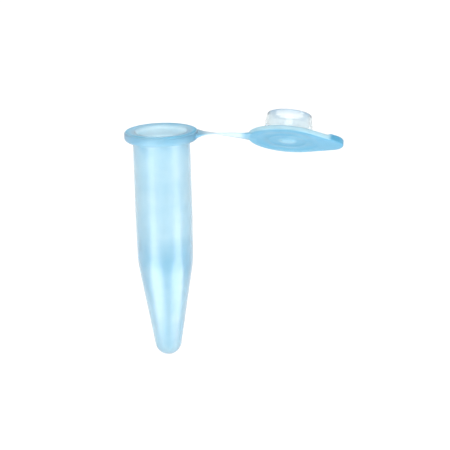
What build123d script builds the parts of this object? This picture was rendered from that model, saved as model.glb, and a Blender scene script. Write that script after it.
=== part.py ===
from build123d import *
import os
from math import acos, atan2, cos, hypot, radians, sin

# A 0.6 mL snap-cap microcentrifuge tube, moulded in one shot of polypropylene, with its lid hanging open.
# The tube's axis is Z. Z = 0 is the underside of the rim flange, where the tube hangs in a rack.
# The strap leaves the flange along +X. All sizes are in millimetres.

# ---- tube wall
FLANGE_RADIUS = 5.03
FLANGE_HEIGHT = 1.3
FLANGE_TOP_ROUND = 0.35
FLANGE_BOTTOM_ROUND = 0.5
BARREL_RADIUS = 3.88          # the straight upper barrel, which a rack hole grips
BARREL_STRAIGHT = 10.0
CONE_TOP_RADIUS = 3.78        # the lower barrel has a little draft
CONE_TOP_Z = -16.9
TIP_CENTRE_Z = -28.3
TIP_RADIUS = 1.8
BORE_RADIUS = 3.32            # the straight land that the plug seals against
BORE_STRAIGHT = 4.0
BORE_CONE_RADIUS = 3.18       # the bore's own cone begins above the outer one
BORE_CONE_Z = -13.8
BORE_TIP_RADIUS = 1.0
MOUTH_CHAMFER_WIDTH = 0.25
MOUTH_CHAMFER_DEPTH = 0.45

# ---- lid, drawn in its own frame
# Its origin is the centre of the inner face, +Z runs out along the plug and +X to the tab.
LID_RADIUS = 5.4
LID_THICKNESS = 0.7
LID_EDGE_ROUND = 0.22
TAB_CENTRE_X = 5.03           # centre of the tab's round end
TAB_RADIUS = 2.6
LIP_WIDTH = 0.6               # raised grip lip on the tab's inner side
LIP_HEIGHT = 0.25
LIP_START_X = 5.4
PLUG_RADIUS = 3.24
PLUG_WALL = 0.52
PLUG_HEIGHT = 3.0
BEAD_RADIUS = 3.27            # sealing bead round the plug
BEAD_Z = 0.9
BEAD_HALF_HEIGHT = 0.35
PLUG_TAPER_HEIGHT = 1.3       # lead-in at the plug's open end
PLUG_TIP_RADIUS = 3.06
GATE_RADIUS = 0.85            # moulding gate mark at the middle of the outer face
GATE_HEIGHT = 0.1

# ---- strap between flange and lid, a thin ribbon folded into short stiff lengths
STRAP_WIDTH = 3.0
STRAP_THICKNESS = 0.25
STRAP_BELOW_TOP = 0.55        # the strap's mid-plane below the flange's top face and the lid's inner face
ROOT_LENGTH = 0.8             # from the flange's edge to the first fold
LINK_LENGTHS = (2.55, 2.97)   # two stiff lengths, which double up beside the rim when the lid is shut
LID_END_LENGTH = 0.43         # from the last fold to the lid's edge
FOLD_GAP = 0.03               # from a fold line to the edge of the link beside it
GUSSET_OVERLAP = 1.2          # how far a gusset runs into the flange or the lid before it is trimmed
GUSSET_RISE = 0.22            # how far a gusset climbs above the strap at that edge
GUSSET_DROP = 0.3
GUSSET_FLARE = 0.45           # extra half width at that edge
GUSSET_WAIST = (0.45, 0.3)    # along the gusset, share of its length and of its rise and drop that are left
FLARE_END = 0.8               # share of a gusset's length over which its flare fades out

# ---- how the open lid hangs: the strap sags and twists towards the lid
LID_DROOP = 8.0               # degrees below level
LID_TWIST = 28.8              # degrees about the strap's own length
DROOP_POWER = 0.45            # below 1, so that the strap bends down mostly near the flange
TWIST_SHARES = (0.5, 0.5)     # share of the lid's twist that each stiff length has

os.makedirs("parts", exist_ok=True)


def save(shape, node):
    export_step(shape, f"parts/{node}.step")


# ---- outlines of turned pieces, as (radius, z) points on the XZ plane
def turned(*edges):
    return revolve(make_face(list(edges)), Axis.Z)


def ring(*points):
    return turned(Polyline([(r, 0, z) for r, z in points], close=True))


def tip_tangent(radius, top_z, tip_radius):
    """Where a cone from radius at top_z touches the round tip, and the tip's lowest point."""
    height = top_z - TIP_CENTRE_Z
    half_angle = acos(tip_radius / hypot(radius, height)) - atan2(height, radius)
    touch = (tip_radius * cos(half_angle), TIP_CENTRE_Z - tip_radius * sin(half_angle))
    middle_angle = (half_angle + radians(90)) / 2
    middle = (tip_radius * cos(middle_angle), TIP_CENTRE_Z - tip_radius * sin(middle_angle))
    return touch, middle, (0, TIP_CENTRE_Z - tip_radius)


def bore_at_cone_top():
    """The bore's radius at the height where the outer cone begins."""
    touch = tip_tangent(BORE_CONE_RADIUS, BORE_CONE_Z, BORE_TIP_RADIUS)[0]
    share = (BORE_CONE_Z - CONE_TOP_Z) / (BORE_CONE_Z - touch[1])
    return BORE_CONE_RADIUS + (touch[0] - BORE_CONE_RADIUS) * share


def at(point):
    return (point[0], 0, point[1])


# ---- tube body
def outer_circle(wall, height):
    """The circular edge round the outside of the flange at that height."""
    circles = wall.edges().filter_by(GeomType.CIRCLE).filter_by_position(Axis.Z, height, height)
    return circles.sort_by(SortBy.RADIUS)[-1]


def rim_flange():
    wall = ring(
        (BORE_RADIUS, 0),
        (FLANGE_RADIUS, 0),
        (FLANGE_RADIUS, FLANGE_HEIGHT),
        (BORE_RADIUS + MOUTH_CHAMFER_WIDTH, FLANGE_HEIGHT),
        (BORE_RADIUS, FLANGE_HEIGHT - MOUTH_CHAMFER_DEPTH),
    )
    wall = fillet(outer_circle(wall, FLANGE_HEIGHT), FLANGE_TOP_ROUND)
    return fillet(outer_circle(wall, 0), FLANGE_BOTTOM_ROUND)


def tube_barrel():
    return ring(
        (BORE_RADIUS, 0),
        (BARREL_RADIUS, 0),
        (BARREL_RADIUS, -BARREL_STRAIGHT),
        (CONE_TOP_RADIUS, CONE_TOP_Z),
        (bore_at_cone_top(), CONE_TOP_Z),
        (BORE_CONE_RADIUS, BORE_CONE_Z),
        (BORE_RADIUS, -BORE_STRAIGHT),
    )


def conical_bottom():
    touch, middle, lowest = tip_tangent(CONE_TOP_RADIUS, CONE_TOP_Z, TIP_RADIUS)
    bore_touch, bore_middle, bore_lowest = tip_tangent(BORE_CONE_RADIUS, BORE_CONE_Z, BORE_TIP_RADIUS)
    top, bore_top = (CONE_TOP_RADIUS, CONE_TOP_Z), (bore_at_cone_top(), CONE_TOP_Z)
    return turned(
        Line(at(top), at(touch)),
        ThreePointArc(at(touch), at(middle), at(lowest)),
        Line(at(lowest), at(bore_lowest)),
        ThreePointArc(at(bore_lowest), at(bore_middle), at(bore_touch)),
        Line(at(bore_touch), at(bore_top)),
        Line(at(bore_top), at(top)),
    )


# ---- strap
def prism(points, width):
    """A side outline, as (x, z) points, made solid across the strap's width."""
    face = make_face(Polyline([(x, 0, z) for x, z in points], close=True))
    return extrude(face, width / 2, dir=(0, 1, 0), both=True)


def strap_link(length):
    """One stiff length of strap from x = 0 to length, bevelled on both faces at each fold."""
    half = STRAP_THICKNESS / 2
    near, far = FOLD_GAP, length - FOLD_GAP
    outline = [
        (near, 0), (near + half, half), (far - half, half),
        (far, 0), (far - half, -half), (near + half, -half),
    ]
    return prism(outline, STRAP_WIDTH)


def strap_gusset(length):
    """The strap's thick end: it leaves an edge at x = 0 and thins to the fold at x = length."""
    half = STRAP_THICKNESS / 2
    start, tip = -GUSSET_OVERLAP, length - FOLD_GAP
    rise, drop = half + GUSSET_RISE, half + GUSSET_DROP
    waist, left = GUSSET_WAIST[0] * length, GUSSET_WAIST[1]
    top = [(start, rise), (0, rise), (waist, half + left * GUSSET_RISE), (tip - half, half)]
    bottom = [(start, -drop), (0, -drop), (waist, -half - left * GUSSET_DROP), (tip - half, -half)]
    wide, narrow = STRAP_WIDTH / 2 + GUSSET_FLARE, STRAP_WIDTH / 2
    side = prism(top + [(tip, 0)] + bottom[::-1], 2 * wide)
    plan = [(start, wide), (0, wide), (FLARE_END * length, narrow), (length, narrow)]
    plan += [(x, -y) for x, y in reversed(plan)]
    return side & extrude(make_face(Polyline(plan, close=True)), rise + drop, both=True)


# ---- where each length of the strap lies while the lid hangs open
def hanging_plane(origin, droop, twist):
    """A plane with x along the strap, droop degrees below level, and z turned by twist about x."""
    along = Vector(cos(radians(droop)), 0, -sin(radians(droop)))
    up = Vector(sin(radians(droop)), 0, cos(radians(droop)))
    return Plane(origin=origin, x_dir=along, z_dir=up.rotate(Axis((0, 0, 0), along), -twist))


STRAP_LENGTH = ROOT_LENGTH + sum(LINK_LENGTHS) + LID_END_LENGTH
STRAP_Z = FLANGE_HEIGHT - STRAP_BELOW_TOP

fold = Vector(FLANGE_RADIUS + ROOT_LENGTH, 0, STRAP_Z)
link_planes = []
for number, length in enumerate(LINK_LENGTHS):
    middle_share = (ROOT_LENGTH + sum(LINK_LENGTHS[:number]) + length / 2) / STRAP_LENGTH
    droop = LID_DROOP * middle_share**DROOP_POWER
    link_planes.append(hanging_plane(fold, droop, LID_TWIST * TWIST_SHARES[number]))
    fold = fold + link_planes[-1].x_dir * length

last_fold = hanging_plane(fold, LID_DROOP, LID_TWIST)
lid_centre = fold + last_fold.x_dir * (LID_END_LENGTH + LID_RADIUS) + last_fold.z_dir * STRAP_BELOW_TOP
lid_plane = hanging_plane(lid_centre, LID_DROOP, LID_TWIST)


# ---- lid, in its own frame
def lid_disc():
    disc = Pos(0, 0, -LID_THICKNESS / 2) * Cylinder(LID_RADIUS, LID_THICKNESS)
    return fillet(disc.edges().filter_by(GeomType.CIRCLE), LID_EDGE_ROUND)


def tab_outline(grow=0.0):
    """The outline round the disc and the tab's end, joined by tangent sides, or one that much larger."""
    disc_circle, end_circle = LID_RADIUS + grow, TAB_RADIUS + grow
    side_angle = acos((disc_circle - end_circle) / TAB_CENTRE_X)
    tangent = (cos(side_angle), sin(side_angle))
    on_disc = (disc_circle * tangent[0], disc_circle * tangent[1])
    on_end = (TAB_CENTRE_X + end_circle * tangent[0], end_circle * tangent[1])
    end = (TAB_CENTRE_X + end_circle, 0)
    return make_face([
        Line((0, 0), on_disc),
        Line(on_disc, on_end),
        ThreePointArc(on_end, end, (on_end[0], -on_end[1])),
        Line((on_end[0], -on_end[1]), (on_disc[0], -on_disc[1])),
        Line((on_disc[0], -on_disc[1]), (0, 0)),
    ])


def thumb_tab():
    plate = extrude(tab_outline(), -LID_THICKNESS)
    lip = extrude(tab_outline() - tab_outline(-LIP_WIDTH), LIP_HEIGHT)
    width = 2 * LID_RADIUS
    beyond_start = Box(width, width, 2 * LIP_HEIGHT, align=(Align.MIN, Align.CENTER, Align.CENTER))
    lip &= Pos(LIP_START_X, 0, 0) * beyond_start
    return plate + lip - Cylinder(LID_RADIUS, 2 * (LID_THICKNESS + LIP_HEIGHT))


def sealing_plug():
    bore = PLUG_RADIUS - PLUG_WALL
    taper_start = PLUG_HEIGHT - PLUG_TAPER_HEIGHT
    return ring(
        (bore, 0),
        (PLUG_RADIUS, 0),
        (PLUG_RADIUS, BEAD_Z - BEAD_HALF_HEIGHT),
        (BEAD_RADIUS, BEAD_Z),
        (PLUG_RADIUS, BEAD_Z + BEAD_HALF_HEIGHT),
        (PLUG_RADIUS, taper_start),
        (PLUG_TIP_RADIUS, PLUG_HEIGHT),
        (bore, PLUG_HEIGHT),
    )


def gate_mark():
    return Pos(0, 0, -LID_THICKNESS - GATE_HEIGHT / 2) * Cylinder(GATE_RADIUS, GATE_HEIGHT)


def lid_strap_end():
    """The strap's lid end, built from the lid's edge back to the last fold."""
    turned_round = Location((-LID_RADIUS, 0, -STRAP_BELOW_TOP), (0, 0, 180))
    band_height = LID_THICKNESS - LID_EDGE_ROUND
    band = Box(4 * LID_RADIUS, 4 * LID_RADIUS, band_height)
    stub = turned_round * strap_gusset(LID_END_LENGTH) & Pos(0, 0, band_height / 2 - LID_THICKNESS) * band
    return stub - lid_disc()


# ---- write every node where it lies
flange = rim_flange()
save(flange, "rim_flange")
save(tube_barrel(), "tube_barrel")
save(conical_bottom(), "conical_bottom")
save(Pos(FLANGE_RADIUS, 0, STRAP_Z) * strap_gusset(ROOT_LENGTH) - flange, "strap_root")

for number, (plane, length) in enumerate(zip(link_planes, LINK_LENGTHS), 1):
    save(plane * strap_link(length), f"strap_link_{number}")

lid_pieces = {
    "lid_disc": lid_disc(),
    "thumb_tab": thumb_tab(),
    "sealing_plug": sealing_plug(),
    "gate_mark": gate_mark(),
    "lid_strap_end": lid_strap_end(),
}
for node, piece in lid_pieces.items():
    save(lid_plane * piece, node)
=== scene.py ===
from math import acos, atan2, cos, degrees, hypot, pi, radians, sin, sqrt

import bpy
import numpy as np
from mathutils import Matrix, Vector


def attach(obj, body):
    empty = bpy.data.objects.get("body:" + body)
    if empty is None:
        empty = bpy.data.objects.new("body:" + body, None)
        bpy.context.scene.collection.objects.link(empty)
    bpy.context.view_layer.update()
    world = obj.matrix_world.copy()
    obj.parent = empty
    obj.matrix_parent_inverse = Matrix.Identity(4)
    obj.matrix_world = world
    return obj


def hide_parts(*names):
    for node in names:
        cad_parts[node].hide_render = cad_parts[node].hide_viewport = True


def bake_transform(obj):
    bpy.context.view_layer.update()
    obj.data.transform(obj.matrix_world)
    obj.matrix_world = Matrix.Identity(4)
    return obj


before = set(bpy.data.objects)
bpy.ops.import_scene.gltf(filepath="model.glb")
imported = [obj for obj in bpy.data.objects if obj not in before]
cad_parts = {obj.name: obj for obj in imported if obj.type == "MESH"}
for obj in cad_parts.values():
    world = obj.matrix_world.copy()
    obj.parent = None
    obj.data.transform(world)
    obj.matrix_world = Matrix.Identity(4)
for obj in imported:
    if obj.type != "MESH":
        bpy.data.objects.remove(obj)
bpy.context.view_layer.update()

MM = 0.001

# ---- tube, in millimetres from the underside of the rim flange, on its own axis
FLANGE_RADIUS, FLANGE_HEIGHT = 5.025, 1.3
FLANGE_TOP_ROUND, FLANGE_BOTTOM_ROUND = 0.35, 0.5
NECK_ROUND = 0.3
BARREL_RADIUS, BARREL_STRAIGHT_Z = 3.88, -10.0
CONE_TOP_RADIUS, CONE_TOP_Z = 3.78, -16.9
TIP_RADIUS, TIP_CENTRE_Z = 1.8, -28.3
BORE_RADIUS, BORE_STRAIGHT_Z = 3.32, -4.0
BORE_CONE_RADIUS, BORE_CONE_Z = 3.18, -13.8
BORE_TIP_RADIUS = 1.0
CHAMFER_WIDTH, CHAMFER_DEPTH = 0.25, 0.45

# ---- lid, in its own frame: inner face at 0, +Z out along the plug, +X to the tab
LID_RADIUS, LID_THICKNESS, LID_EDGE_ROUND = 5.4, 0.7, 0.22
TAB_CENTRE_X, TAB_RADIUS = 5.03, 2.6
LIP_WIDTH, LIP_HEIGHT, LIP_RISE_X = 0.6, 0.25, (5.15, 5.65)
PLUG_RADIUS, PLUG_WALL, PLUG_HEIGHT = 3.24, 0.52, 3.0
PLUG_TIP_RADIUS, PLUG_TAPER_HEIGHT = 3.06, 1.3
BEAD_RADIUS, BEAD_Z, BEAD_HALF_HEIGHT = 3.27, 0.9, 0.35
GATE_RADIUS, DISH_DEPTH = 0.85, 0.05

# ---- strap
STRAP_WIDTH, LID_END_WIDTH, STRAP_THICKNESS = 3.0, 2.6, 0.25
STRAP_BELOW_TOP = 0.55         # the strap's middle below the flange's top and the lid's inner face
STRAP_Z = FLANGE_HEIGHT - STRAP_BELOW_TOP
FLANGE_EDGE = 5.03
ROOT_LENGTH, LINK_LENGTHS, LID_END_LENGTH = 0.8, (2.55, 2.97), 0.43
STRAP_LENGTH = ROOT_LENGTH + sum(LINK_LENGTHS) + LID_END_LENGTH
LID_DROOP, LID_TWIST, DROOP_POWER, TWIST_POWER = 8.0, 28.8, 0.45, 0.8
ROOT_FLARE_LENGTH, LID_FLARE_LENGTH = 1.1, 0.9
ROOT_FLARE_SIDE, ROOT_FLARE_UP, ROOT_FLARE_DOWN = 0.3, 0.16, 0.24   # growth of the half-sizes at the flange
LID_FLARE_SIDE, LID_FLARE_UP = 0.2, 0.08                            # and at the lid
ROOT_BOW_LENGTH, LID_BOW_LENGTH = ROOT_LENGTH + 0.3, LID_END_LENGTH + 0.4

# ---- depth of colour, from pale 0 to deep 1, and where it fades in, as (start, end) of a radius or a height
# the neck's depth is painted shade, darkening the barrel just under the flange
WALL_DEPTH, CONE_DEPTH, FLANGE_DEPTH, UNDER_FLANGE_SHADE = 0.36, 0.27, 0.1, 0.16
WALL_FADE = (0.1, 0.4)         # measured outwards from the bore
THICK_FADE_Z = (BORE_CONE_Z + 0.3, BORE_CONE_Z - 0.5)
CONE_FADE_Z, CONE_LEAST = (-24, -17), 0.15
FLANGE_FADE_R, UNDER_FLANGE_SHADE_Z = (4.2, 4.6), (-3.5, 0)
TOP_EDGE_DEPTH = 0.9
TOP_EDGE_FADE_R, TOP_EDGE_END_R, TOP_EDGE_FADE_Z = (4.0, 4.4), (4.95, 4.76), (1.08, 1.23)
MOUTH_MILKY, MOUTH_FADE_Z, MOUTH_END_Z = 0.6, (-6, -3), (FLANGE_HEIGHT, FLANGE_HEIGHT - 0.3)
BARREL_POLISH, POLISH_FADE_Z = 0.7, (0.15, -0.15)
PAINTED_LIT_SIDE_DEPTH = 0.1           # the disc's side wall, painted pale: painted light from above glowing through it
PAINTED_LIGHT_END_X = (5.35, 5.85)  # and where the painted light gives way to the deep colour round the end of the tab
# the gate mark is paler than the outer face: a painted highlight on the real gate mark
GATE_HIGHLIGHT_DEPTH = 0.7
PLUG_LIP_FADE_Z, PLUG_LIP_FADE_R = (-0.22, -0.14), (0.3, 0.2)   # from the plug's end, and from its bore
PLUG_BASE_FADE_Z = (0.12, 0.02)
ROOT_FADE, LID_END_FADE = (1.3, 0.3), (1.17, 0.27)              # along the strap from the flange and the lid
# where the painted shade on the strap's far long edge fades in, across the ribbon
FAR_EDGE_SHADE_Y = (0.5, 1.2)


def unit(v):
    return v / np.linalg.norm(v)


def ramp(value, start, end):
    """0 at start and 1 at end, straight between them and held beyond them. end may be below start."""
    return np.clip((value - start) / (end - start), 0, 1)


def hanging_axes(droop, twist):
    """Columns x, y, z of a frame whose x runs along the strap, droop degrees below level, turned by twist."""
    d, t = radians(droop), radians(twist)
    x = np.array([cos(d), 0, -sin(d)])
    up = np.array([sin(d), 0, cos(d)])
    side = np.cross(up, x)
    z = up * cos(t) + np.cross(x, up) * -sin(t)
    return np.column_stack([x, np.cross(z, x), z])


# the folds, each link of the strap straight between them, and the lid's frame
fold_points = [np.array([FLANGE_EDGE + ROOT_LENGTH, 0, STRAP_Z])]
for number, length in enumerate(LINK_LENGTHS):
    share = (ROOT_LENGTH + sum(LINK_LENGTHS[:number]) + length / 2) / STRAP_LENGTH
    fold_points.append(fold_points[-1] + hanging_axes(LID_DROOP * share**DROOP_POWER, 0)[:, 0] * length)
lid_axes = hanging_axes(LID_DROOP, LID_TWIST)
to_lid_middle = LID_END_LENGTH + LID_RADIUS
lid_origin = fold_points[-1] + lid_axes[:, 0] * to_lid_middle + lid_axes[:, 2] * STRAP_BELOW_TOP
TO_LID = np.eye(4)
TO_LID[:3, :3] = lid_axes
TO_LID[:3, 3] = lid_origin


# ---- meshes
LATHE_SEGMENTS = 144


def make_object(name, points, faces, place=None):
    """A smooth mesh object from points in millimetres, moved by the 4x4 matrix place if there is one."""
    points = np.asarray(points, float)
    if place is not None:
        points = points @ place[:3, :3].T + place[:3, 3]
    mesh = bpy.data.meshes.new(name)
    mesh.from_pydata((points * MM).tolist(), [], faces)
    mesh.validate()
    for polygon in mesh.polygons:
        polygon.use_smooth = True
    obj = bpy.data.objects.new(name, mesh)
    bpy.context.scene.collection.objects.link(obj)
    return obj


def float_attribute(obj, name, values):
    """Stores a number on each point, which the material reads by name."""
    attribute = obj.data.attributes.new(name, "FLOAT", "POINT")
    attribute.data.foreach_set("value", np.asarray(values, np.float32))


def arc(centre, radius, start, end, steps):
    """Points (r, z) round a centre, from one angle to another in degrees, measured from +r towards +z."""
    angles = np.radians(np.linspace(start, end, steps + 1))
    return [(centre[0] + radius * cos(a), centre[1] + radius * sin(a)) for a in angles]


def run(start, end, steps):
    """Evenly spaced points from start to end, both included."""
    start, end = np.array(start), np.array(end)
    return [tuple(start + (end - start) * k / steps) for k in range(steps + 1)]


def tidy(profile):
    """The profile without points that repeat the one before."""
    kept = [profile[0]]
    for p in profile[1:]:
        if hypot(p[0] - kept[-1][0], p[1] - kept[-1][1]) > 1e-5:
            kept.append(p)
    return kept


def lathe(name, profile, place=None, closed=False):
    """Turns a profile of (r, z) round Z. Its ends lie on the axis, or it is a closed loop."""
    turns = [2 * pi * k / LATHE_SEGMENTS for k in range(LATHE_SEGMENTS)]
    points, rows = [], []
    for r, z in tidy(profile):
        if r < 1e-6:
            rows.append([len(points)] * LATHE_SEGMENTS)
            points.append((0, 0, z))
        else:
            rows.append(list(range(len(points), len(points) + LATHE_SEGMENTS)))
            points += [(r * cos(a), r * sin(a), z) for a in turns]
    pairs = list(zip(rows, rows[1:])) + ([(rows[-1], rows[0])] if closed else [])
    faces = []
    for low, high in pairs:
        for k in range(LATHE_SEGMENTS):
            n = (k + 1) % LATHE_SEGMENTS
            face = [low[k], low[n], high[n], high[k]]
            face = [v for i, v in enumerate(face) if v != face[i - 1]]
            if len(face) > 2:
                faces.append(face)
    return make_object(name, points, faces, place)


def tip_angle(radius, top_z, tip_radius):
    """Degrees below level at which a cone from radius at top_z touches the round tip."""
    height = top_z - TIP_CENTRE_Z
    return degrees(acos(tip_radius / hypot(radius, height)) - atan2(height, radius))


def rounded_corner(before, corner, after, reach, steps=8):
    """A smooth bend in place of a corner, starting reach before it and ending reach after it."""
    b, c, a = (np.array(p, float) for p in (before, corner, after))
    start, end = c + unit(b - c) * reach, c + unit(a - c) * reach
    shares = np.linspace(0, 1, steps + 1)
    return [tuple(start * (1 - t) ** 2 + c * 2 * t * (1 - t) + end * t**2) for t in shares]


def bore_radius_at(z):
    """Roughly how wide the bore is at that height."""
    if z > BORE_CONE_Z:
        return BORE_RADIUS
    down = (BORE_CONE_Z - z) / (BORE_CONE_Z - TIP_CENTRE_Z)
    return BORE_CONE_RADIUS + (BORE_TIP_RADIUS - BORE_CONE_RADIUS) * down


def colour_tube(tube):
    """The bore is pale. The outside is deeper, more so on the flange and cone, most on the top edge, and the
    neck just under the flange is darkened with painted shade.
    """
    depths, milky, polish = [], [], []
    for vertex in tube.data.vertices:
        r, z = hypot(vertex.co.x, vertex.co.y) / MM, vertex.co.z / MM
        outside = ramp(r - bore_radius_at(z), *WALL_FADE)
        thick = ramp(z, *THICK_FADE_Z)
        cone = thick * max(ramp(z, *CONE_FADE_Z), CONE_LEAST)
        wall = WALL_DEPTH + CONE_DEPTH * cone
        # the neck's share is painted shade under the flange
        wall += FLANGE_DEPTH * ramp(r, *FLANGE_FADE_R) + UNDER_FLANGE_SHADE * ramp(z, *UNDER_FLANGE_SHADE_Z)
        top_edge = min(ramp(r, *TOP_EDGE_FADE_R), TOP_EDGE_DEPTH)
        top_edge *= ramp(r, *TOP_EDGE_END_R) * ramp(z, *TOP_EDGE_FADE_Z)
        mouth = (1 - outside) * ramp(z, *MOUTH_FADE_Z) * ramp(z, *MOUTH_END_Z)
        depths.append(max(outside * wall, top_edge))
        milky.append(max(top_edge, MOUTH_MILKY * mouth))
        polish.append(outside * ramp(z, *POLISH_FADE_Z) * (BARREL_POLISH + (1 - BARREL_POLISH) * thick))
    float_attribute(tube, "depth_of_colour", depths)
    float_attribute(tube, "milky", milky)
    float_attribute(tube, "polish", polish)


def tube_shell():
    """Flange, barrel and cone in one skin, its profile drawn from the bore's tip up and down the outside."""
    outer_angle = tip_angle(CONE_TOP_RADIUS, CONE_TOP_Z, TIP_RADIUS)
    inner_angle = tip_angle(BORE_CONE_RADIUS, BORE_CONE_Z, BORE_TIP_RADIUS)
    tip = (0, TIP_CENTRE_Z)
    inner_touch = arc(tip, BORE_TIP_RADIUS, -inner_angle, -inner_angle, 1)[0]
    outer_touch = arc(tip, TIP_RADIUS, -outer_angle, -outer_angle, 1)[0]
    mouth_low = (BORE_RADIUS, FLANGE_HEIGHT - CHAMFER_DEPTH)
    mouth_high = (BORE_RADIUS + CHAMFER_WIDTH, FLANGE_HEIGHT)
    top_round = (FLANGE_RADIUS - FLANGE_TOP_ROUND, FLANGE_HEIGHT - FLANGE_TOP_ROUND)
    bottom_round = (FLANGE_RADIUS - FLANGE_BOTTOM_ROUND, FLANGE_BOTTOM_ROUND)
    neck = (BARREL_RADIUS + NECK_ROUND, -NECK_ROUND)
    barrel_straight = (BARREL_RADIUS, BARREL_STRAIGHT_Z)
    cone_bend = (CONE_TOP_RADIUS, CONE_TOP_Z)
    bore_straight = (BORE_RADIUS, BORE_STRAIGHT_Z)
    bore_bend = (BORE_CONE_RADIUS, BORE_CONE_Z)
    profile = arc(tip, BORE_TIP_RADIUS, -90, -inner_angle, 10)
    profile += run(inner_touch, bore_bend, 10)[:-1]
    profile += rounded_corner(inner_touch, bore_bend, bore_straight, 0.25, 4)
    profile += run((BORE_CONE_RADIUS, BORE_CONE_Z + 0.4), bore_straight, 6)
    profile += run(bore_straight, mouth_low, 3)[:-1]
    profile += rounded_corner((BORE_RADIUS, 0), mouth_low, mouth_high, 0.12, 4)
    profile += rounded_corner(mouth_low, mouth_high, (FLANGE_RADIUS, FLANGE_HEIGHT), 0.16, 5)
    profile += arc(top_round, FLANGE_TOP_ROUND, 90, 0, 8)
    profile += arc(bottom_round, FLANGE_BOTTOM_ROUND, 0, -90, 10)
    profile += arc(neck, NECK_ROUND, 90, 180, 6)
    profile += run((BARREL_RADIUS, -NECK_ROUND), barrel_straight, 6)
    profile += run(barrel_straight, cone_bend, 5)[1:-1]
    profile += rounded_corner(barrel_straight, cone_bend, outer_touch, 1.0, 8)
    profile += run(cone_bend, outer_touch, 12)[2:]
    profile += arc(tip, TIP_RADIUS, -outer_angle, -90, 12)
    profile[0] = (0, profile[0][1])
    profile[-1] = (0, profile[-1][1])
    tube = lathe("tube_shell", profile[::-1])
    colour_tube(tube)
    return tube


def tab_outline(inset, count=160):
    """Points round the disc and the tab's round end with tangent sides, inset by that much."""
    disc, end = LID_RADIUS - inset, TAB_RADIUS - inset
    side = acos((disc - end) / TAB_CENTRE_X)
    eighth = count // 8
    tab_end = [(TAB_CENTRE_X + end * cos(a), end * sin(a)) for a in np.linspace(-side, side, eighth * 2 + 1)]
    back = [(disc * cos(a), disc * sin(a)) for a in np.linspace(side, 2 * pi - side, eighth * 4 + 1)]
    first_side = run(tab_end[-1], back[0], eighth)[1:-1]
    second_side = run(back[-1], tab_end[0], eighth)[1:-1]
    return np.array(tab_end + first_side + back + second_side)


def lid_shell():
    """Disc, tab and gate mark in one skin of rings, from the inner face's middle to the outer face's."""
    rings, depths = [], []

    def teardrop(inset, z, lip=0.0, depth=1.0):
        """A ring along the outline, raised by lip towards the tab's end."""
        outline = tab_outline(inset)
        rise = ramp(outline[:, 0], *LIP_RISE_X)
        rise = rise**2 * (3 - 2 * rise) * lip
        rings.append(np.column_stack([outline, z + rise]))
        # the painted light on the side wall fades out round the tab's end
        tab_end = ramp(outline[:, 0], *PAINTED_LIGHT_END_X)
        depths.append(depth + (1 - depth) * tab_end)

    def circle_mix(radius, z, mix, depth=1.0):
        """A ring between the outline (mix 0) and a circle of that radius (mix 1)."""
        outline = tab_outline(LIP_WIDTH + 0.25)
        angle = np.arctan2(outline[:, 1], outline[:, 0])
        ring = np.column_stack([np.cos(angle), np.sin(angle)]) * radius
        rings.append(np.column_stack([outline * (1 - mix) + ring * mix, np.full(len(outline), z)]))
        depths.append(np.full(len(outline), depth))

    # inner face, from its middle out to the lip
    for radius in (0.02, 0.9, 1.8, 2.7, 3.6, 4.3):
        circle_mix(radius, 0, 1)
    circle_mix(4.5, 0, 0.5)
    teardrop(LIP_WIDTH + 0.12, 0)
    teardrop(LIP_WIDTH, 0.0, 0.06)
    teardrop(LIP_WIDTH - 0.1, 0.0, LIP_HEIGHT - 0.08)
    teardrop(LIP_WIDTH - 0.2, 0.0, LIP_HEIGHT)
    # round the edge and down the side wall the colour is painted pale, as painted light from above
    steps = 6
    for k in range(steps + 1):
        a = radians(90 * k / steps)
        teardrop(LID_EDGE_ROUND * (1 - sin(a)), -LID_EDGE_ROUND * (1 - cos(a)), LIP_HEIGHT, PAINTED_LIT_SIDE_DEPTH)
    teardrop(0.0, -LID_THICKNESS * 0.5, 0.1, PAINTED_LIT_SIDE_DEPTH)
    for k in range(steps + 1):
        a = radians(90 * k / steps)
        z = -LID_THICKNESS + LID_EDGE_ROUND * (1 - sin(a))
        teardrop(LID_EDGE_ROUND * (1 - cos(a)), z, 0.0, PAINTED_LIT_SIDE_DEPTH + k / steps)
    # outer face: a very slight dish, a fine ring round the middle and the gate mark
    teardrop(LIP_WIDTH + 0.2, -LID_THICKNESS)
    dish = ((4.35, 0), (4.2, 0), (4.1, 0.035), (3.4, DISH_DEPTH))
    fine_ring = ((2.75, DISH_DEPTH), (2.65, 0.02), (2.5, 0.02), (2.4, DISH_DEPTH))
    for radius, dip in dish + fine_ring + ((1.9, DISH_DEPTH), (1.45, DISH_DEPTH)):
        circle_mix(radius, -LID_THICKNESS + dip, 1)
    # the gate mark, painted paler as a painted highlight
    gate_edge = ((GATE_RADIUS + 0.1, -DISH_DEPTH), (GATE_RADIUS, 0.02), (GATE_RADIUS - 0.15, 0.06))
    for radius, lift in gate_edge + ((0.45, 0.05), (0.25, 0.02), (0.02, 0.02)):
        circle_mix(radius, -LID_THICKNESS - lift, 1, GATE_HIGHLIGHT_DEPTH)
    count = len(rings[0])
    points = np.vstack(rings)
    faces = []
    for r in range(len(rings) - 1):
        for k in range(count):
            n = (k + 1) % count
            faces.append([(r + 1) * count + k, (r + 1) * count + n, r * count + n, r * count + k])
    faces.append(list(range(count)))
    faces.append(list(range((len(rings) - 1) * count, len(rings) * count))[::-1])
    lid = make_object("lid_shell", points, faces, TO_LID)
    float_attribute(lid, "depth_of_colour", np.clip(np.concatenate(depths), 0, 1))
    return lid


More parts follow.
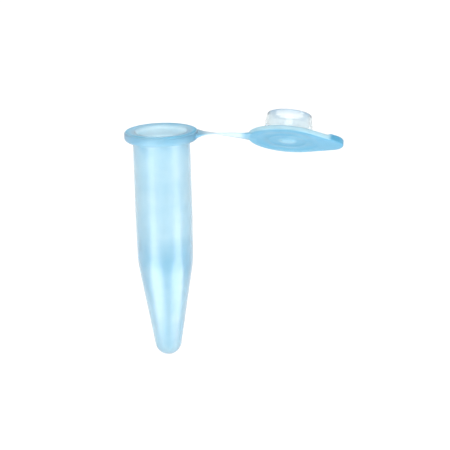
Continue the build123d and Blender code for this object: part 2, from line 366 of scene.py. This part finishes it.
def plug_ring():
    """The hollow plug's wall with its bead, standing on the lid's inner face and sunk a little into it."""
    bore = PLUG_RADIUS - PLUG_WALL
    taper_start = PLUG_HEIGHT - PLUG_TAPER_HEIGHT
    base = -0.03
    top = PLUG_HEIGHT
    profile = [(bore - 0.12, base), (PLUG_RADIUS + 0.1, base)]
    profile += rounded_corner((PLUG_RADIUS + 0.2, 0), (PLUG_RADIUS, 0), (PLUG_RADIUS, 1), 0.1, 3)
    for k in range(9):
        a = pi * k / 8
        bulge = (BEAD_RADIUS - PLUG_RADIUS) * sin(a)
        profile.append((PLUG_RADIUS + bulge, BEAD_Z - BEAD_HALF_HEIGHT * cos(a)))
    profile += run((PLUG_RADIUS, taper_start), (PLUG_TIP_RADIUS, top - 0.1), 5)
    profile += rounded_corner((PLUG_TIP_RADIUS, top - 0.2), (PLUG_TIP_RADIUS, top), (bore, top), 0.1, 4)
    profile += rounded_corner((PLUG_TIP_RADIUS, top), (bore + 0.03, top), (bore, 0), 0.1, 4)
    profile += run((bore, top - 0.15), (bore, 0.15), 4)
    profile += rounded_corner((bore, 1), (bore, 0), (0, 0), 0.1, 3)
    plug = lathe("plug_ring", profile, place=TO_LID, closed=True)
    radii, heights = (np.repeat(column, LATHE_SEGMENTS) for column in zip(*tidy(profile)))
    inner_lip = ramp(heights - top, *PLUG_LIP_FADE_Z) * ramp(radii - bore, *PLUG_LIP_FADE_R)
    base_ring = ramp(heights, *PLUG_BASE_FADE_Z)
    float_attribute(plug, "depth_of_colour", inner_lip + base_ring)
    return plug


# ---- the strap: one ribbon along a drooping, twisting line, in three pieces
def strap_state(s):
    """Centre and axes of the strap s millimetres from the flange's edge. The centre is summed in steps."""
    steps = 60
    along = np.linspace(0, s, steps + 1)
    droop = np.radians(LID_DROOP * ramp(along, 0, STRAP_LENGTH) ** DROOP_POWER)
    middle = (droop[1:] + droop[:-1]) / 2
    step = s / steps
    forward, down = np.sum(np.cos(middle)) * step, np.sum(np.sin(middle)) * step
    centre = np.array([FLANGE_EDGE + forward, 0, STRAP_Z - down])
    twist = LID_TWIST * ramp(s, 0, STRAP_LENGTH) ** TWIST_POWER
    axes = hanging_axes(degrees(droop[-1]), twist)
    return centre, axes


def flare(distance, length):
    """1 at an edge and 0 from length on, easing out."""
    return ramp(distance, length, 0) ** 2


EDGE_POINTS, FACE_STEPS = 12, 7


def strap_section(s):
    """The ribbon's section at s as (y, z) points: rounded long edges, flat faces, flared at both ends."""
    root, end = flare(s, ROOT_FLARE_LENGTH), flare(STRAP_LENGTH - s, LID_FLARE_LENGTH)
    narrowing = (STRAP_WIDTH - LID_END_WIDTH) / 2 * ramp(s, 0, STRAP_LENGTH)
    half_width = STRAP_WIDTH / 2 - narrowing + ROOT_FLARE_SIDE * root + LID_FLARE_SIDE * end
    half_up = STRAP_THICKNESS / 2 + ROOT_FLARE_UP * root + LID_FLARE_UP * end
    half_down = STRAP_THICKNESS / 2 + ROOT_FLARE_DOWN * root
    edge = 1.2 * min(half_up, half_down)
    flat = half_width - edge
    section = []
    for side, z_first, z_last in ((1, half_up, half_down), (-1, half_down, half_up)):
        for k in range(EDGE_POINTS):
            a = pi / 2 - pi * k / (EDGE_POINTS - 1)
            z = z_first if a > 0 else z_last
            section.append((side * (flat + edge * cos(a)), side * z * sin(a)))
        face_z = -half_down if side > 0 else half_up
        for k in range(1, FACE_STEPS):
            section.append((side * flat * (1 - 2 * k / FACE_STEPS), face_z))
    return section


def strap_ring(s):
    """One ring of the ribbon. Near the flange and the lid it bows to follow their round edges."""
    ring = []
    at_root = flare(max(s, 0), ROOT_BOW_LENGTH)
    at_lid = flare(max(STRAP_LENGTH - s, 0), LID_BOW_LENGTH)
    for y, z in strap_section(s):
        back = (FLANGE_RADIUS - sqrt(FLANGE_RADIUS**2 - y**2)) * at_root
        forward = (LID_RADIUS - sqrt(LID_RADIUS**2 - y**2)) * at_lid
        centre, axes = strap_state(s - back + forward)
        ring.append(centre + axes[:, 1] * y + axes[:, 2] * z)
    return np.array(ring)


def strap_piece(name, start, end, steps):
    """An open-ended sleeve of the ribbon from start to end, deeper in colour near the flange and the lid,
    with painted shade along its far long edge.
    """
    stations = np.linspace(start, end, steps + 1)
    rings = [strap_ring(s) for s in stations]
    count = len(rings[0])
    points = np.vstack(rings)
    faces = []
    for r in range(steps):
        for k in range(count):
            n = (k + 1) % count
            faces.append([r * count + k, (r + 1) * count + k, (r + 1) * count + n, r * count + n])
    obj = make_object(name, points, faces)
    along = np.repeat(stations, count)
    across = np.concatenate([[y for y, z in strap_section(s)] for s in stations])
    ends = ramp(along, *ROOT_FADE) + ramp(STRAP_LENGTH - along, *LID_END_FADE)
    float_attribute(obj, "depth_of_colour", ends)
    float_attribute(obj, "far_edge_shade", ramp(across, *FAR_EDGE_SHADE_Y))
    return obj


# ---- materials
PLASTIC_IOR = 1.5
COAT_ROUGHNESS = 0.24
MILKY_TRANSMISSION, MILKY_SPECULAR = 0.25, 0.1


def principled(name, colour, roughness, transmission):
    """A new material, its node tree and its shader."""
    material = bpy.data.materials.new(name)
    material.use_nodes = True
    shader = material.node_tree.nodes["Principled BSDF"]
    shader.inputs["Base Color"].default_value = (*colour, 1)
    shader.inputs["Roughness"].default_value = roughness
    shader.inputs["Transmission Weight"].default_value = transmission
    shader.inputs["IOR"].default_value = PLASTIC_IOR
    return material, material.node_tree, shader


def node(tree, kind, **values):
    """A new node, each value set on its input of that name or else on the node itself."""
    made = tree.nodes.new(kind)
    for key, value in values.items():
        if key in made.inputs:
            made.inputs[key].default_value = value
        else:
            setattr(made, key, value)
    return made


def surface_value(tree, name):
    """A number stored on the mesh's points, read by name."""
    read = tree.nodes.new("ShaderNodeAttribute")
    read.attribute_name = name
    return read.outputs["Fac"]


def mixed(tree, share, low, high):
    """A colour between low and high. Either may be a colour or another node's output."""
    mix = node(tree, "ShaderNodeMix", data_type="RGBA")
    tree.links.new(share, mix.inputs[0])
    for socket, value in ((mix.inputs[6], low), (mix.inputs[7], high)):
        if isinstance(value, tuple):
            socket.default_value = (*value, 1)
        else:
            tree.links.new(value, socket)
    return mix.outputs[2]


def spread(tree, value, low, high, first=0.0, last=1.0):
    """Carries the range low..high of a value over to first..last, held at both ends."""
    ranged = node(tree, "ShaderNodeMapRange")
    ranged.inputs["From Min"].default_value = low
    ranged.inputs["From Max"].default_value = high
    ranged.inputs["To Min"].default_value = first
    ranged.inputs["To Max"].default_value = last
    tree.links.new(value, ranged.inputs["Value"])
    return ranged.outputs["Result"]


def moulded_plastic(name, pale, deep, roughness, transmission,
                    absorb=None, density=0.0, edge=None, polished=False, specular=0.5):
    """Frosted polypropylene, pale to deep by depth_of_colour, with clouds, flow streaks and a fine skin, and
    painted shade along a long edge when an edge colour is given.
    """
    material, tree, shader = principled(name, pale, roughness, transmission)
    link = tree.links.new
    coords = node(tree, "ShaderNodeTexCoord")
    stretch = node(tree, "ShaderNodeMapping")
    stretch.inputs["Scale"].default_value = (1, 1, 0.12)
    link(coords.outputs["Object"], stretch.inputs["Vector"])
    streaks = node(tree, "ShaderNodeTexNoise", Scale=900.0, Detail=3.0, Roughness=0.55)
    link(stretch.outputs["Vector"], streaks.inputs["Vector"])
    clouds = node(tree, "ShaderNodeTexNoise", Scale=260.0, Detail=2.0)
    link(coords.outputs["Object"], clouds.inputs["Vector"])
    skin = node(tree, "ShaderNodeTexNoise", Scale=5200.0, Detail=2.0)
    link(coords.outputs["Object"], skin.inputs["Vector"])
    cloudy = spread(tree, clouds.outputs["Fac"], 0.35, 0.75, -0.1, 0.16)
    depth = node(tree, "ShaderNodeMath", operation="ADD", use_clamp=True)
    link(surface_value(tree, "depth_of_colour"), depth.inputs[0])
    link(cloudy, depth.inputs[1])
    colour = mixed(tree, depth.outputs["Value"], pale, deep)
    # the edge colour is painted shade along the strap's far long edge
    if edge:
        colour = mixed(tree, surface_value(tree, "far_edge_shade"), colour, edge)
    link(colour, shader.inputs["Base Color"])
    streaky = spread(tree, streaks.outputs["Fac"], 0, 1, roughness - 0.07, roughness + 0.09)
    link(streaky, shader.inputs["Roughness"])
    add = node(tree, "ShaderNodeMath", operation="ADD")
    link(streaks.outputs["Fac"], add.inputs[0])
    link(skin.outputs["Fac"], add.inputs[1])
    relief = node(tree, "ShaderNodeBump", Strength=0.05, Distance=0.00002)
    link(add.outputs["Value"], relief.inputs["Height"])
    link(relief.outputs["Normal"], shader.inputs["Normal"])
    shader.inputs["Coat Roughness"].default_value = COAT_ROUGHNESS
    shader.inputs["Specular IOR Level"].default_value = specular
    if polished:
        # the outer walls are polished, and the flange's top edge and the mouth are milkier than they are
        link(surface_value(tree, "polish"), shader.inputs["Coat Weight"])
        milky = surface_value(tree, "milky")
        less_clear = spread(tree, milky, 0, 1, transmission, MILKY_TRANSMISSION)
        link(less_clear, shader.inputs["Transmission Weight"])
        less_shiny = spread(tree, milky, 0, 1, specular, MILKY_SPECULAR)
        link(less_shiny, shader.inputs["Specular IOR Level"])
    if absorb:
        volume = node(tree, "ShaderNodeVolumeAbsorption")
        volume.inputs["Color"].default_value = (*absorb, 1)
        volume.inputs["Density"].default_value = density
        link(volume.outputs["Volume"], tree.nodes["Material Output"].inputs["Volume"])
    return material


tube_plastic = moulded_plastic(
    "frosted_blue_tube", pale=(0.86, 0.975, 1.0), deep=(0.05, 0.42, 0.64), roughness=0.36, transmission=0.7,
    absorb=(0.30, 0.80, 0.95), density=330.0, polished=True)
lid_plastic = moulded_plastic(
    "frosted_blue_lid", pale=(0.66, 0.95, 1.0), deep=(0.10, 0.43, 0.635), roughness=0.34, transmission=0.5,
    absorb=(0.3, 0.72, 0.93), density=200.0)
plug_plastic = moulded_plastic(
    "clear_plug", pale=(0.92, 0.985, 1.0), deep=(0.30, 0.50, 0.70), roughness=0.12, transmission=0.85,
    absorb=(0.6, 0.85, 0.95), density=60.0)
# the strap's edge colour is painted shade on its far long edge
strap_plastic = moulded_plastic(
    "clear_strap", pale=(0.60, 0.76, 0.84), deep=(0.22, 0.48, 0.64), roughness=0.4, transmission=0.3,
    edge=(0.32, 0.45, 0.53), specular=0.15)

# ---- pieces
tube = tube_shell()
tube.data.materials.append(tube_plastic)
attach(tube, "tube")
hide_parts("rim_flange", "tube_barrel", "conical_bottom")

lid = lid_shell()
lid.data.materials.append(lid_plastic)
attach(lid, "lid")
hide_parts("lid_disc", "thumb_tab", "gate_mark")

plug = plug_ring()
plug.data.materials.append(plug_plastic)
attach(plug, "lid")
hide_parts("sealing_plug")

first_middle = ROOT_LENGTH + LINK_LENGTHS[0] / 2
second_middle = ROOT_LENGTH + LINK_LENGTHS[0] + LINK_LENGTHS[1] / 2
# name, start and end along the strap, the two bodies, the fold between them, the bend's reach, nodes replaced
STRAP_PIECES = (
    ("strap_at_tube", -0.12, first_middle,
     "tube", "strap_1", 0, 0.75, ("strap_root", "strap_link_1")),
    ("strap_at_middle", first_middle, second_middle,
     "strap_1", "strap_2", 1, 1.0, ()),
    ("strap_at_lid", second_middle, STRAP_LENGTH + 0.15,
     "strap_2", "lid", 2, 0.75, ("strap_link_2", "lid_strap_end")),
)
RING_SPACING = 0.08
for name, start, end, near_body, far_body, fold, reach, nodes in STRAP_PIECES:
    piece = strap_piece(name, start, end, int((end - start) / RING_SPACING))
    piece.data.materials.append(strap_plastic)
    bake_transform(piece)
    if nodes:
        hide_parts(*nodes)

# ---- stage
FLOOR_Z = -0.055
bpy.ops.mesh.primitive_plane_add(size=6, location=(0, 0, FLOOR_Z))
floor = bpy.context.object
floor.name = "studio_floor"
floor.data.materials.append(principled("pale_floor", (0.97, 0.97, 0.97), 0.9, 0.0)[0])

world = bpy.data.worlds.new("studio")
bpy.context.scene.world = world
world.use_nodes = True
background = world.node_tree.nodes["Background"]
background.inputs["Color"].default_value = (1, 1, 1, 1)
background.inputs["Strength"].default_value = 0.9

# two long light panels lying just above the floor, whose reflections draw the pale streaks down the tube
PANEL_DISTANCE, PANEL_Z = 0.11, -0.05
PANEL_WIDTH, PANEL_LENGTH, PANEL_POWER = 0.06, 0.14, 0.125
for name, azimuth in (("streak_left", -45), ("streak_right", 56)):
    a = radians(azimuth)
    light = bpy.data.lights.new(name, "AREA")
    light.shape = "RECTANGLE"
    light.size, light.size_y = PANEL_WIDTH, PANEL_LENGTH
    light.energy = PANEL_POWER
    panel = bpy.data.objects.new(name, light)
    panel.location = (sin(a) * PANEL_DISTANCE, -cos(a) * PANEL_DISTANCE, PANEL_Z)
    panel.rotation_euler = (pi, 0, a)
    bpy.context.scene.collection.objects.link(panel)

# a broad soft light from above and in front
sun = bpy.data.lights.new("ceiling", "SUN")
sun.energy = 1.2
sun.angle = radians(40)
ceiling = bpy.data.objects.new("ceiling", sun)
ceiling.rotation_euler = (radians(48), 0, 0)
bpy.context.scene.collection.objects.link(ceiling)

# ---- camera, at the photograph's angle: 14 degrees above level, looking along +Y, with a slight roll
ELEVATION, ROLL = 14.0, 1.85
DISTANCE = 0.6
FRAME_WIDTH = 61.0
RIM_LEFT, RIM_UP = 8.67, 12.82
e, roll = radians(ELEVATION), radians(ROLL)
toward = Vector((0, -cos(e), sin(e)))
level_right, level_up = Vector((1, 0, 0)), Vector((0, sin(e), cos(e)))
right = level_right * cos(roll) - level_up * sin(roll)
up = level_right * sin(roll) + level_up * cos(roll)
rim_top = Vector((0, 0, FLANGE_HEIGHT))
look_at = (rim_top + right * RIM_LEFT - up * RIM_UP) * MM
camera_data = bpy.data.cameras.new("camera")
camera_data.sensor_width = 36
camera_data.lens = 36 * DISTANCE / (FRAME_WIDTH * MM)
camera_data.clip_start, camera_data.clip_end = 0.01, 20
camera = bpy.data.objects.new("camera", camera_data)
basis = Matrix((right, up, toward)).transposed()
camera.matrix_world = Matrix.Translation(look_at + toward * DISTANCE) @ basis.to_4x4()
bpy.context.scene.collection.objects.link(camera)
bpy.context.scene.camera = camera
bpy.context.scene.view_settings.view_transform = "Standard"
